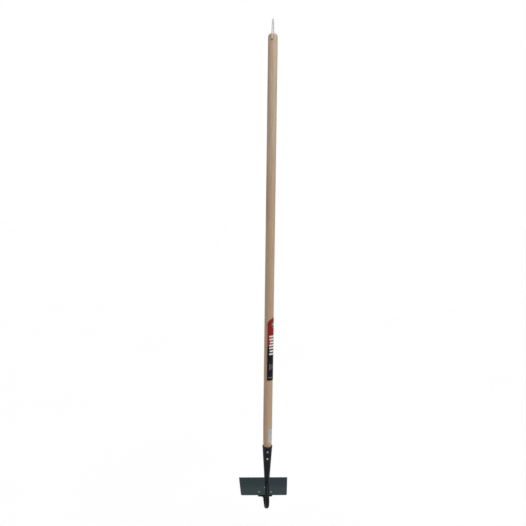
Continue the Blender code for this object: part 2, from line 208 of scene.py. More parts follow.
class BladeSettings(bpy.types.PropertyGroup):
    edge_round: length_setting("Edge Rounding", "Rounding of the blade's sheared edges", 0.0004)
    green: color_setting("Green Enamel", "Colour of the blade's enamel", (0.0240, 0.0405, 0.0430))
    blue: color_setting(
        "Blue Drift", "Colour that the enamel drifts to across the blade", (0.0235, 0.0385, 0.0470)
    )


class RivetSettings(bpy.types.PropertyGroup):
    head_radius: length_setting("Head Radius", "Radius of a rivet's domed head", 0.0032)
    foot_radius: length_setting("Foot Radius", "Radius of a rivet's hammered foot", 0.0030)


class StickerSettings(bpy.types.PropertyGroup):
    paper: length_setting("Film", "Thickness of the label's and the ticket's film", 0.00025)
    upper: color_setting("Upper Panel", "Colour of the label's upper panel", (0.222, 0.0115, 0.0072))
    lower: color_setting("Lower Panel", "Colour of the label's lower panel", (0.0020, 0.0016, 0.0056))


class StageSettings(bpy.types.PropertyGroup):
    distance: length_setting("Camera Distance", "Distance of the camera from the shaft", 1.5543)
    height: length_setting("Camera Height", "Height of the camera above the socket's rim", 0.7544)
    pitch: angle_setting("Camera Pitch", "How far the camera looks down", math.radians(6.20))
    turn: angle_setting("Camera Turn", "How far the camera stands round the shaft", math.radians(-1.78))
    roll: angle_setting("Camera Roll", "How far the camera leans over", math.radians(0.7))
    aside: length_setting("Camera Aside", "How far the camera stands to the left of the shaft", 0.0210)


class DrawHoeSettings(bpy.types.PropertyGroup):
    shaft: PointerProperty(type=ShaftSettings)
    loop: PointerProperty(type=LoopSettings)
    forging: PointerProperty(type=ForgingSettings)
    blade: PointerProperty(type=BladeSettings)
    rivets: PointerProperty(type=RivetSettings)
    stickers: PointerProperty(type=StickerSettings)
    stage: PointerProperty(type=StageSettings)


# Mesh helpers


def arc(center, radius, start, end, steps):
    """Points on an arc in a plane, both ends included."""
    angles = [start + (end - start) * i / steps for i in range(steps + 1)]
    return [(center[0] + radius * math.cos(a), center[1] + radius * math.sin(a)) for a in angles]


def ease(share):
    """A share from 0 to 1 with soft ends."""
    share = min(max(share, 0.0), 1.0)
    return share * share * (3 - 2 * share)


def mix(first, second, share):
    return first + (second - first) * share


def turned(profile, sides):
    """Turn a closed (radius, height) profile, both ends on the axis, about Z."""
    bm = bmesh.new()
    verts = [bm.verts.new((radius, 0.0, height)) for radius, height in profile]
    for first, second in zip(verts, verts[1:]):
        bm.edges.new((first, second))
    bmesh.ops.spin(
        bm,
        geom=bm.verts[:] + bm.edges[:],
        cent=(0, 0, 0),
        axis=(0, 0, 1),
        angle=math.tau,
        steps=sides,
        use_merge=True,
    )
    bmesh.ops.remove_doubles(bm, verts=bm.verts, dist=1e-6)
    bmesh.ops.recalc_face_normals(bm, faces=bm.faces)
    return bm


def drawn_out(count, places):
    """Draw one ring of points out through a row of places and close both ends.

    A place turns a point's angle on the ring into where the point lies.
    """
    bm = bmesh.new()
    turn = bm.verts.layers.float.new("turn")
    ring = bmesh.ops.create_circle(bm, segments=count, radius=1.0)["verts"]
    for vert in ring:
        vert[turn] = math.atan2(vert.co.y, vert.co.x)
        vert.co = places[0](vert[turn])
    edges = bm.edges[:]
    bmesh.ops.contextual_create(bm, geom=edges)
    for place in places[1:]:
        grown = bmesh.ops.extrude_edge_only(bm, edges=edges)["geom"]
        verts = [item for item in grown if isinstance(item, bmesh.types.BMVert)]
        edges = [item for item in grown if isinstance(item, bmesh.types.BMEdge) and item.is_boundary]
        for vert in verts:
            vert.co = place(vert[turn])
    bmesh.ops.contextual_create(bm, geom=edges)
    bmesh.ops.recalc_face_normals(bm, faces=bm.faces)
    if bm.calc_volume(signed=True) < 0:
        bmesh.ops.reverse_faces(bm, faces=bm.faces)
    return bm


def cut_across(bm, place, normal):
    geom = bm.verts[:] + bm.edges[:] + bm.faces[:]
    bmesh.ops.bisect_plane(bm, geom=geom, dist=1e-7, plane_co=place, plane_no=normal)


def round_off(bm, geom, size, affect, segments):
    """Round corners, given as vertices, or edges."""
    bmesh.ops.bevel(
        bm,
        geom=geom,
        offset=size,
        offset_type="OFFSET",
        affect=affect,
        segments=segments,
        profile=0.5,
        material=-1,
    )


def thicken(bm, thickness):
    """Make a flat sheet a closed plate, with the sheet as its underside."""
    solid = bmesh.ops.extrude_face_region(bm, geom=bm.faces[:])
    tops = [item for item in solid["geom"] if isinstance(item, bmesh.types.BMVert)]
    bmesh.ops.translate(bm, verts=tops, vec=(0, 0, thickness))
    bmesh.ops.recalc_face_normals(bm, faces=bm.faces)


def facing(direction, center):
    """Placement at a point, with local Z along a direction."""
    return Matrix.Translation(center) @ direction.to_track_quat("Z", "Y").to_matrix().to_4x4()


def piece_mesh(name, bm):
    mesh = bpy.data.meshes.new(name)
    bm.to_mesh(mesh)
    bm.free()
    return mesh


def link(name, mesh, finish):
    mesh.materials.append(finish)
    obj = bpy.data.objects.new(name, mesh)
    bpy.context.scene.collection.objects.link(obj)
    return obj


def drill(obj, holes, finish):
    """Bore round holes, each a (profile, placement), and keep the result as plain mesh."""
    for profile, place in holes:
        bm = turned(profile, 32)
        bmesh.ops.transform(bm, matrix=place, verts=bm.verts)
        cutter = link(f"{obj.name}_bit", piece_mesh("bit", bm), finish)
        cut = obj.modifiers.new("bore", "BOOLEAN")
        cut.operation = "DIFFERENCE"
        cut.object = cutter
        bpy.context.view_layer.update()
        bored = bpy.data.meshes.new_from_object(obj.evaluated_get(bpy.context.evaluated_depsgraph_get()))
        obj.modifiers.remove(cut)
        obj.data = bored
        bpy.data.objects.remove(cutter)
    bm = bmesh.new()
    bm.from_mesh(obj.data)
    bmesh.ops.remove_doubles(bm, verts=bm.verts, dist=2e-6)
    bmesh.ops.dissolve_degenerate(bm, edges=bm.edges, dist=2e-6)
    bm.to_mesh(obj.data)
    bm.free()


def bit(radius, half, flare=0.0, mouth=0.0):
    """Half outline of a drill bit, flared at both mouths by a countersink."""
    if flare == 0.0:
        return [(0, half), (radius, half), (radius, -half), (0, -half)]
    side = [(radius + flare + half - mouth, half), (radius + flare, mouth), (radius, mouth - 2 * flare)]
    return [(0, half), *side, *[(r, -z) for r, z in reversed(side)], (0, -half)]


def finish_piece(obj, slot, body, nodes, sharp=math.radians(32)):
    """Smooth a piece, hide the imported parts it stands in for, and attach it to what it moves with."""
    obj.data.shade_smooth()
    obj.data.set_sharp_from_angle(angle=sharp)
    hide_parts(*nodes)
    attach(obj, body)
    return obj


# Shapes


def shaft_radius(height):
    """The shaft's radius at a height above the socket's rim, or below it where negative."""
    if height >= SHAFT_TAPER_START:
        return SHAFT_RADIUS
    if height >= 0:
        return mix(SHAFT_RIM_RADIUS, SHAFT_RADIUS, height / SHAFT_TAPER_START)
    return mix(SHAFT_RIM_RADIUS, SHAFT_END_RADIUS, -height / SHAFT_IN_SOCKET)


def socket_radius(depth):
    """The socket's outer radius at a depth below its rim."""
    if depth < SOCKET_LIP_HEIGHT:
        return mix(SOCKET_RIM_RADIUS, SOCKET_LIP_RADIUS, depth / SOCKET_LIP_HEIGHT)
    share = (depth - SOCKET_LIP_HEIGHT) / (SOCKET_END - SOCKET_LIP_HEIGHT)
    return mix(SOCKET_LIP_RADIUS, SOCKET_END_RADIUS, share)


def blade_point(x, along, lift):
    """A point on the bent blade: along from its back edge, lift above its underside."""
    angle = BLADE_RISE
    flat = min(along, BLADE_INNER)
    y = BLADE_BACK_Y + flat * math.cos(angle)
    z = BLADE_BACK_Z + flat * math.sin(angle)
    bent = min(max(along - BLADE_INNER, 0.0), BLADE_CREASE)
    if bent > 0:
        turned_to = angle + bent / BLADE_CREASE_RADIUS
        y += BLADE_CREASE_RADIUS * (math.sin(turned_to) - math.sin(angle))
        z += BLADE_CREASE_RADIUS * (math.cos(angle) - math.cos(turned_to))
        angle = turned_to
    outer = max(along - BLADE_INNER - BLADE_CREASE, 0.0)
    y += outer * math.cos(angle)
    z += outer * math.sin(angle)
    normal = Vector((0.0, -math.sin(angle), math.cos(angle)))
    return Vector((HEAD_OFFSET + x, y, z)) + normal * lift


def rivet_place(x, along):
    """Placement on the blade's underside with local Z along its outward upper normal."""
    up = blade_point(x, along, 1.0) - blade_point(x, along, 0.0)
    return facing(up, blade_point(x, along, 0.0))


def section(angle, wide, thick, rounding):
    """A point of a rounded box's outline, which is a circle when all three sizes are the same."""
    side, lift = math.cos(angle), math.sin(angle)
    reach = max(abs(side), abs(lift))
    side, lift = side / reach * wide, lift / reach * thick
    rounding = min(rounding, wide, thick)
    past = Vector((max(abs(side) - wide + rounding, 0.0), max(abs(lift) - thick + rounding, 0.0)))
    if past.x > 0 and past.y > 0:
        past = past.normalized() * rounding
        side = math.copysign(wide - rounding + past.x, side)
        lift = math.copysign(thick - rounding + past.y, lift)
    return side, lift


def make_shaft(settings, finish):
    crown = settings.crown
    height = SHAFT_TOP_Z - RIM_Z
    profile = [(0.0, height)]
    profile += arc((SHAFT_RADIUS - crown, height - crown), crown, math.pi / 2, 0, 14)
    rows = [height - crown - 0.0012 * i for i in range(1, 13)]
    rows += [height - 0.05, height - 0.2, height / 2, 0.3, 0.1]
    rows += [SHAFT_TAPER_START, 0.03, 0.0, -0.007, -0.0145, -0.022, -0.038, -0.06, 0.002 - SHAFT_IN_SOCKET]
    profile += [(shaft_radius(h), h) for h in rows]
    profile += [(SHAFT_END_RADIUS - 0.001, -SHAFT_IN_SOCKET), (0.0, -SHAFT_IN_SOCKET)]
    bm = turned(profile, 96)
    bmesh.ops.translate(bm, verts=bm.verts, vec=(0, 0, RIM_Z))
    obj = link("ash_shaft", piece_mesh("ash_shaft", bm), finish)
    mouth = math.sqrt(SHAFT_RADIUS**2 - CROSS_HOLE_RADIUS**2)
    holes = [(bit(CROSS_HOLE_RADIUS, SOCKET_DRILL_HALF, COUNTERSINK, mouth), facing(HOLE_AXIS, HINGE))]
    for name in SOCKET_RIVETS:
        low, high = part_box(name)
        center = Vector((0, 0, (low.z + high.z) / 2))
        holes.append((bit(RIVET_DRILL, SOCKET_DRILL_HALF), facing(Vector((0, 1, 0)), center)))
    drill(obj, holes, finish)
    return finish_piece(obj, "ash_wood", "handle_and_head", ["shaft"])


def make_loop(settings, finish):
    wire = settings.wire_radius
    rise = -HINGE.z + wire - 0.0001
    leg = SHAFT_RADIUS + 0.0006 + wire
    foot, bend = 0.004, settings.top_bend
    side = [(SHAFT_RADIUS - 0.0095, 0.0), (SHAFT_RADIUS - 0.0089, 0.0), (leg - foot - 0.001, 0.0)]
    side += arc((leg - foot, foot), foot, -math.pi / 2, 0, 10)
    side += arc((leg - 0.03, 0.016), 0.03, 0, math.radians(6.5), 3)[1:]
    side += arc((settings.half_width - bend, rise - bend), bend, math.radians(4), math.pi / 2, 16)
    side.append((0.0, rise))
    line = side + [(-y, z) for y, z in reversed(side[:-1])]
    points = [Vector((-y * math.sin(settings.twist) * z / rise, y, z)) for y, z in line]
    stand = Matrix.Rotation(math.atan2(-HOLE_AXIS.x, HOLE_AXIS.y), 4, "Z")
    stand.translation = HINGE
    shrink = [0.75] + [1.0] * (len(points) - 2) + [0.75]
    places = []
    for i, point in enumerate(points):
        ahead = (points[min(i + 1, len(points) - 1)] - points[max(i - 1, 0)]).normalized()
        across = Vector((1, 0, 0)).cross(ahead).normalized()
        out = ahead.cross(across)

        def place(angle, point=point, across=across, out=out, radius=wire * shrink[i]):
            spoke = across * math.cos(angle) + out * math.sin(angle)
            return stand @ (point + spoke * radius)

        places.append(place)
    obj = link("wire_loop", piece_mesh("wire_loop", drawn_out(20, places)), finish)
    return finish_piece(obj, "galvanised_wire", "loop", ["hanging_loop"], math.radians(50))


def neck_line():
    """Centre line of the neck as (y, z, heading, stage), heading from -Z towards -Y.

    The stage runs 0 to 1 round the forward lean, 1 to 2 to the front, 2 to 3 round the
    turn's foot and 3 to 4 along the strap.
    """
    lean_center = Vector((-NECK_LEAN_RADIUS, RIM_Z - SOCKET_END))
    turn_center = Vector((NECK_TURN_RADIUS - NECK_REACH, RIM_Z - NECK_TURN_HEIGHT))
    radii = NECK_LEAN_RADIUS + NECK_TURN_RADIUS
    across = turn_center - lean_center
    straight = math.sqrt(across.length_squared - radii**2)
    lean = math.atan2(-straight, radii) - math.atan2(across.y, across.x)
    line = []
    steps = 14
    for i in range(steps + 1):
        angle = lean * i / steps
        spoke = Vector((math.cos(angle), -math.sin(angle)))
        line.append((*(lean_center + NECK_LEAN_RADIUS * spoke), angle, i / steps))
    start, stage = Vector(line[-1][:2]), 1.0
    spoke = Vector((-math.cos(lean), math.sin(lean)))
    end = turn_center + NECK_TURN_RADIUS * spoke
    for i in range(1, 4):
        line.append((*start.lerp(end, i / 4), lean, stage + i / 4 / (steps + 1)))
    for i in range(steps + 1):
        angle = lean * (1 - i / steps)
        spoke = Vector((-math.cos(angle), math.sin(angle)))
        line.append((*(turn_center + NECK_TURN_RADIUS * spoke), angle, 1 + (i + 1) / (steps + 1)))
    strap_end = blade_point(0, -0.006, STRAP_MIDDLE).yz
    to_palm = blade_point(0, 0, STRAP_MIDDLE).yz - turn_center
    rise = math.atan2(to_palm.y, to_palm.x) + math.asin(NECK_TURN_RADIUS / to_palm.length)
    turn = math.pi / 2 + rise
    steps = 28
    for i in range(1, steps + 1):
        angle = -turn * i / steps
        spoke = Vector((-math.cos(angle), math.sin(angle)))
        line.append((*(turn_center + NECK_TURN_RADIUS * spoke), angle, 2 + i / steps))
    strap_start = Vector(line[-1][:2])
    for i in range(1, 6):
        line.append((*strap_start.lerp(strap_end, i / 6), -turn, 3 + i / 6))
    return line


STRAP_MIDDLE = -GAP - PALM_THICKNESS / 2 - STRAP_HALF_THICKNESS + 0.45 * PALM_THICKNESS


def neck_section(stage, bar):
    """Half width, half thickness, rounding and sideways drift at a stage of the centre line."""
    marks = (
        (SOCKET_END_RADIUS, SOCKET_END_RADIUS, SOCKET_END_RADIUS, 0.0),
        (bar, bar, bar, 0.0),
        (bar, bar, bar, 0.0),
        (0.0070, 0.0058, 0.0050, 0.6 * HEAD_OFFSET),
        (STRAP_HALF_WIDTH, STRAP_HALF_THICKNESS, 0.0030, HEAD_OFFSET),
        (STRAP_HALF_WIDTH, STRAP_HALF_THICKNESS, 0.0030, HEAD_OFFSET),
    )
    first = min(int(stage), len(marks) - 2)
    share = ease(stage - first)
    return [mix(a, b, share) for a, b in zip(marks[first], marks[first + 1])]


def palm_place(along, wide, thick, rib, strap):
    """A ring of the palm: its half width and thickness, the rib under it, and how much strap is left."""

    def place(angle):
        # The neck has turned right over here, so its rings run the other way round
        angle = -angle
        x, lift = section(angle, wide, thick, min(0.0014, thick))
        lift -= GAP + PALM_THICKNESS / 2
        if lift < -GAP - PALM_THICKNESS / 2:
            lift -= rib * (1 - ease((abs(x) / STRAP_HALF_WIDTH - 0.45) / 0.95))
        if strap > 0:
            strap_x, strap_lift = section(angle, STRAP_HALF_WIDTH, STRAP_HALF_THICKNESS, 0.0030)
            x, lift = mix(x, strap_x, strap), mix(lift, strap_lift + STRAP_MIDDLE, strap)
        return blade_point(x, along, lift)

    return place


def palm_rings():
    """The palm's rings, from the strap to the nose."""
    half, thick = PALM_HALF_WIDTH, PALM_THICKNESS / 2
    full_rib = -(STRAP_MIDDLE - STRAP_HALF_THICKNESS) - GAP - PALM_THICKNESS
    rows = [(-0.0045, 0.0074, 1.0, 0.9), (-0.0030, 0.0082, 0.98, 0.6), (-0.0018, 0.0094, 0.95, 0.25)]
    rows += [(-0.0010, 0.0112, 0.86, 0.05), (-0.0004, 0.0150, 0.84, 0.0), (-0.0002, 0.0214, 0.84, 0.0)]
    rows += [(0.0001, 0.0222, 0.95, 0.0), (0.0005, 0.0228, 1.0, 0.0), (0.0014, 0.0233, 1.0, 0.0)]
    rows += [(0.0024, half, 1.0, 0.0)]
    rows += [(0.005 + 0.0025 * i, half, 1.0, 0.0) for i in range(5)]
    rows += [(0.0168, half - 0.0004, 1.0, 0.0), (0.0185, half - 0.0013, 1.0, 0.0)]
    rows += [(0.0185 + 0.0023 * i, half - 0.0013 - 0.00128 * i, 1.0, 0.0) for i in range(1, 10)]
    rows += [(0.0410, 0.0095, 1.0, 0.0), (0.0427, 0.0083, 1.0, 0.0), (0.0440, 0.0070, 1.0, 0.0)]
    rows += [(0.0449, 0.0056, 0.93, 0.0), (PALM_LENGTH - 0.0001, 0.0042, 0.72, 0.0)]
    rows.append((PALM_LENGTH, 0.0038, 0.5, 0.0))
    places = []
    for along, wide, share, strap in rows:
        rib = full_rib * (1 - ease(max(along, 0.0) / RIB_LENGTH)) ** 0.8
        places.append(palm_place(along, wide, thick * share, rib, strap))
    return places


def upright(depth, radius):
    """A level round ring at a depth below the socket's rim."""

    def place(angle):
        return Vector((radius * math.cos(angle), -radius * math.sin(angle), RIM_Z - depth))

    return place


def bar_place(y, z, heading, wide, thick, rounding, drift):
    out = Vector((0, -math.cos(heading), math.sin(heading)))

    def place(angle):
        x, lift = section(angle, wide, thick, rounding)
        return Vector((drift + x, y, z)) + out * lift

    return place


def make_forging(settings, finish):
    bore, bore_end = SHAFT_RIM_RADIUS + GAP, SHAFT_END_RADIUS + GAP
    places = [upright(SOCKET_BORE_END, bore_end - 0.0008), upright(SOCKET_BORE_END - 0.0008, bore_end)]
    places += [upright(d, mix(bore, bore_end, d / SOCKET_BORE_END)) for d in (0.06, 0.03, 0.01)]
    edge = SOCKET_EDGE
    places += [upright(d, r) for r, d in arc((bore + edge, edge), edge, math.pi, 1.5 * math.pi, 4)]
    outer = arc((SOCKET_RIM_RADIUS - edge, edge), edge, -math.pi / 2, 0, 4)
    places += [upright(d, r) for r, d in outer]
    depths = [0.003, 0.006, 0.0085, 0.0095, 0.0105, 0.0125]
    depths += [0.0125 + 0.0030 * i for i in range(1, 31)]
    places += [upright(d, socket_radius(d)) for d in depths]
    for y, z, heading, stage in neck_line():
        places.append(bar_place(y, z, heading, *neck_section(stage, settings.bar_half)))
    places += palm_rings()
    bm = drawn_out(96, places)
    hammer(bm, settings.hammering)
    obj = link("forged_socket_neck", piece_mesh("forged_socket_neck", bm), finish)
    holes = []
    for name in SOCKET_RIVETS:
        low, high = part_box(name)
        center = Vector((0, 0, (low.z + high.z) / 2))
        holes.append((bit(RIVET_DRILL, SOCKET_DRILL_HALF), facing(Vector((0, 1, 0)), center)))
    for x, along in BLADE_RIVETS.values():
        holes.append((bit(RIVET_DRILL, BLADE_DRILL_HALF), rivet_place(x, along)))
    drill(obj, holes, finish)
    return finish_piece(obj, "black_enamel", "handle_and_head", ["socket_neck"])


def hammer(bm, depth):
    """Work a forging's uneven surface inward, leaving the bore, the rim and the palm's seat true."""
    bm.normal_update()
    moves = []
    for vert in bm.verts:
        below = RIM_Z - vert.co.z
        inside = math.hypot(vert.co.x, vert.co.y) < SHAFT_RIM_RADIUS + GAP and below < SOCKET_BORE_END
        seat = vert.normal.z > 0.9 and vert.co.y > 0
        if below < 0.004 or (inside and vert.normal.dot(Vector((vert.co.x, vert.co.y, 0))) < 0) or seat:
            continue
        broad = noise.noise(vert.co * 110) * 0.5 + 0.5
        small = noise.noise(vert.co * 320 + Vector((3, 1, 2))) * 0.5 + 0.5
        dent = depth * (0.75 * broad + 0.25 * small) * ease((below - 0.004) / 0.01)
        moves.append((vert, vert.normal * -dent))
    for vert, move in moves:
        vert.co += move


def make_blade(settings, finish):
    back, edge = BLADE_BACK_WIDTH / 2, BLADE_EDGE_WIDTH / 2
    bm = bmesh.new()
    plate = bmesh.ops.create_grid(bm, x_segments=1, y_segments=1, size=0.5)["verts"]
    for vert in plate:
        half = edge if vert.co.y > 0 else back
        vert.co = Vector((math.copysign(half, vert.co.x) + BLADE_SHIFT, (vert.co.y + 0.5) * BLADE_DEPTH, 0))
    rear = [vert for vert in plate if vert.co.y < BLADE_DEPTH / 2]
    front = [vert for vert in plate if vert.co.y > BLADE_DEPTH / 2]
    for corners, size in ((rear, BLADE_CORNER), (front, BLADE_TIP_CORNER)):
        round_off(bm, corners, size, "VERTICES", 8)
    thicken(bm, BLADE_THICKNESS)
    bevel_start = BLADE_DEPTH - BLADE_BEVEL
    rows = [BLADE_INNER + BLADE_CREASE * i / 6 for i in range(7)] + [bevel_start]
    for along in rows:
        cut_across(bm, (0, along, 0), (0, 1, 0))
    for vert in bm.verts:
        if vert.co.z < BLADE_THICKNESS / 2 and vert.co.y > bevel_start:
            vert.co.z = (BLADE_THICKNESS - BLADE_EDGE_THICKNESS) * (vert.co.y - bevel_start) / BLADE_BEVEL
    rims = [e for e in bm.edges if len(e.link_faces) == 2 and e.calc_face_angle() > math.radians(60)]
    level = [e for e in rims if abs(e.verts[0].co.z - e.verts[1].co.z) < BLADE_THICKNESS / 2]
    round_off(bm, level, settings.edge_round, "EDGES", 3)
    for i in range(1, 33):
        cut_across(bm, (BLADE_BOX[0].x + BLADE_EDGE_WIDTH * i / 33 - HEAD_OFFSET, 0, 0), (1, 0, 0))
    for i in range(1, 16):
        cut_across(bm, (0, bevel_start * i / 16 + 0.0004, 0), (0, 1, 0))
    for vert in bm.verts:
        x, along, lift = vert.co
        dish = noise.noise(Vector((x * 28, along * 28, 0.4))) * 0.00010 * ease(along / 0.05)
        vert.co = blade_point(x, along, lift + dish * ease((0.07 - abs(x)) / 0.02))
    obj = link("plate_blade", piece_mesh("plate_blade", bm), finish)
    outline = bit(RIVET_DRILL, BLADE_DRILL_HALF)
    holes = [(outline, rivet_place(x, along)) for x, along in BLADE_RIVETS.values()]
    drill(obj, holes, finish)
    return finish_piece(obj, "green_grey_enamel", "handle_and_head", ["blade"], math.radians(20))


def rivet_outline(grip, head, dome, foot, foot_height):
    """A rivet's half outline, from its domed head down a grip to its hammered foot."""
    outline = [(0.0, dome)]
    for i in range(1, 9):
        angle = math.pi / 2 * (1 - i / 8)
        outline.append((head * math.cos(angle), 0.0003 + (dome - 0.0003) * math.sin(angle)))
    outline += [(head - 0.0001, 0.00005), (head - 0.0003, 0.0), (RIVET_RADIUS, 0.0), (RIVET_RADIUS, -grip)]
    outline += [(foot - 0.0002, -grip), (foot, -grip - 0.0002), (foot - 0.0001, -grip - 0.45 * foot_height)]
    outline += [(0.78 * foot, -grip - 0.85 * foot_height), (0.4 * foot, -grip - foot_height)]
    outline.append((0.0, -grip - foot_height))
    return outline


def make_rivets(settings, finishes):
    head, foot, foot_height = settings.head_radius, settings.foot_radius, RIVET_FOOT_HEIGHT
    made = []
    for name in SOCKET_RIVETS:
        low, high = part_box(name)
        depth = RIM_Z - (low.z + high.z) / 2
        reach = socket_radius(depth - head) + GAP
        outline = rivet_outline(2 * reach, head, -low.y - reach, foot, foot_height)
        place = facing(Vector((0, -1, 0)), Vector((0, -reach, RIM_Z - depth)))
        made.append((name, outline, place, "zinc_rivet"))
    grip = BLADE_THICKNESS + PALM_THICKNESS + 3 * GAP
    for name, (x, along) in BLADE_RIVETS.items():
        outline = rivet_outline(grip, head, BLADE_RIVET_DOME, foot, foot_height)
        place = rivet_place(x, along) @ Matrix.Translation((0, 0, BLADE_THICKNESS + GAP))
        made.append((name, outline, place, "painted_rivet"))
    for name, outline, place, slot in made:
        bm = turned(outline, 40)
        for vert in bm.verts:
            if abs(vert.co.z) > 0.0002 and not -0.9 * grip < vert.co.z < 0:
                vert.co.z -= 0.00008 * (noise.noise(vert.co * 700 + place.translation * 40) * 0.5 + 0.5)
        bmesh.ops.transform(bm, matrix=place, verts=bm.verts)
        obj = link(f"{name}_head", piece_mesh(name, bm), finishes[name])
        finish_piece(obj, slot, "handle_and_head", [name])


def make_wrap(name, node, finish, paper, corner, slot):
    """A thin film wrapped on the shaft, rounded at its top by its own half width or at all corners."""
    low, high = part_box(node)
    angles = WRAP_ANGLES[node]
    left, right = (angle * SHAFT_RADIUS for angle in angles)
    bottom, top = low.z - RIM_Z, high.z - RIM_Z
    bm = bmesh.new()
    plate = bmesh.ops.create_grid(bm, x_segments=1, y_segments=1, size=0.5)["verts"]
    for vert in plate:
        vert.co = Vector((left if vert.co.x < 0 else right, bottom if vert.co.y < 0 else top, 0))
    upper = [vert for vert in plate if vert.co.y > (bottom + top) / 2]
    lower = [vert for vert in plate if vert.co.y < (bottom + top) / 2]
    for corners, size in ((upper, corner), (lower, min(corner, TICKET_CORNER))):
        round_off(bm, corners, size, "VERTICES", 20)
    count = round((angles[1] - angles[0]) / math.radians(3))
    for i in range(1, count):
        cut_across(bm, (mix(left, right, i / count), 0, 0), (1, 0, 0))
    for height in (0.015, 0.030, 0.045, SHAFT_TAPER_START):
        if bottom < height < top:
            cut_across(bm, (0, height, 0), (0, 1, 0))
    print_map = bm.loops.layers.uv.new("print")
    thicken(bm, paper)
    for face in bm.faces:
        for loop in face.loops:
            across, height, _ = loop.vert.co
            loop[print_map].uv = ((across - left) * 10, (height - bottom) * 10)
    for vert in bm.verts:
        across, height, lift = vert.co
        angle = across / SHAFT_RADIUS
        radius = shaft_radius(height) + GAP + lift
        vert.co = Vector((radius * math.sin(angle), -radius * math.cos(angle), RIM_Z + height))
    obj = link(name, piece_mesh(name, bm), finish)
    return finish_piece(obj, slot, "handle_and_head", [node])


# Shader helpers


def put(tree, kind, inputs=None, **settings):
    """Add a shader node, set its properties, and link or set its sockets."""
    made = tree.nodes.new(kind)
    for key, value in settings.items():
        setattr(made, key, value)
    for socket, source in (inputs or {}).items():
        if isinstance(source, bpy.types.NodeSocket):
            tree.links.new(source, made.inputs[socket])
        else:
            made.inputs[socket].default_value = source
    return made


def sums(tree, operation, *values):
    """A Math node's result."""
    return put(tree, "ShaderNodeMath", dict(enumerate(values)), operation=operation).outputs[0]


def times(tree, first, second):
    return sums(tree, "MULTIPLY", first, second)


def vectors(tree, operation, *values):
    """A Vector Math node's result."""
    made = put(tree, "ShaderNodeVectorMath", dict(enumerate(values)), operation=operation)
    return made.outputs["Value" if operation == "LENGTH" else "Vector"]


def ramp(tree, value, low, high, to_low=0.0, to_high=1.0, kind="SMOOTHSTEP"):
    """A value moved from one range to another, held at both ends."""
    inputs = {"Value": value, "From Min": low, "From Max": high, "To Min": to_low, "To Max": to_high}
    return put(tree, "ShaderNodeMapRange", inputs, interpolation_type=kind).outputs["Result"]


def blend(tree, factor, first, second, kind="MIX"):
    """A colour mixed from two colours."""
    made = put(tree, "ShaderNodeMix", data_type="RGBA", blend_type=kind)
    for place, source in ((0, factor), (6, first), (7, second)):
        if isinstance(source, bpy.types.NodeSocket):
            tree.links.new(source, made.inputs[place])
        elif place == 0:
            made.inputs[0].default_value = source
        else:
            made.inputs[place].default_value = (*source, 1.0)
    return made.outputs[2]


def tinted(tree, factor, color, by):
    """A colour multiplied by another, as far as a factor says."""
    return blend(tree, factor, color, blend(tree, 1.0, color, by, "MULTIPLY"))


def grain(tree, vector, scale, detail=2.0, roughness=0.5, stretch=(1, 1, 1)):
    """Noise over the piece, stretched along its axes."""
    spread = vectors(tree, "MULTIPLY", vector, [scale * s for s in stretch])
    inputs = {"Vector": spread, "Scale": 1.0, "Detail": detail, "Roughness": roughness}
    return put(tree, "ShaderNodeTexNoise", inputs).outputs["Fac"]


def clouds(tree, vector, scale, detail):
    """The outputs of plain noise."""
    return put(tree, "ShaderNodeTexNoise", {"Vector": vector, "Scale": scale, "Detail": detail}).outputs


def new_group(name, inputs, outputs):
    """An empty shader group with named sockets; each input is (kind, default)."""
    tree = bpy.data.node_groups.new(name, "ShaderNodeTree")
    for label, (kind, default) in inputs.items():
        socket = tree.interface.new_socket(label, in_out="INPUT", socket_type=kind)
        if default is not None:
            socket.default_value = default
    for label, kind in outputs.items():
        tree.interface.new_socket(label, in_out="OUTPUT", socket_type=kind)
    return tree, tree.nodes.new("NodeGroupInput").outputs, tree.nodes.new("NodeGroupOutput").inputs


def use_group(tree, name, inputs):
    made = tree.nodes.new("ShaderNodeGroup")
    made.node_tree = bpy.data.node_groups[name]
    for label, source in inputs.items():
        if isinstance(source, bpy.types.NodeSocket):
            tree.links.new(source, made.inputs[label])
        else:
            made.inputs[label].default_value = source
    return made.outputs


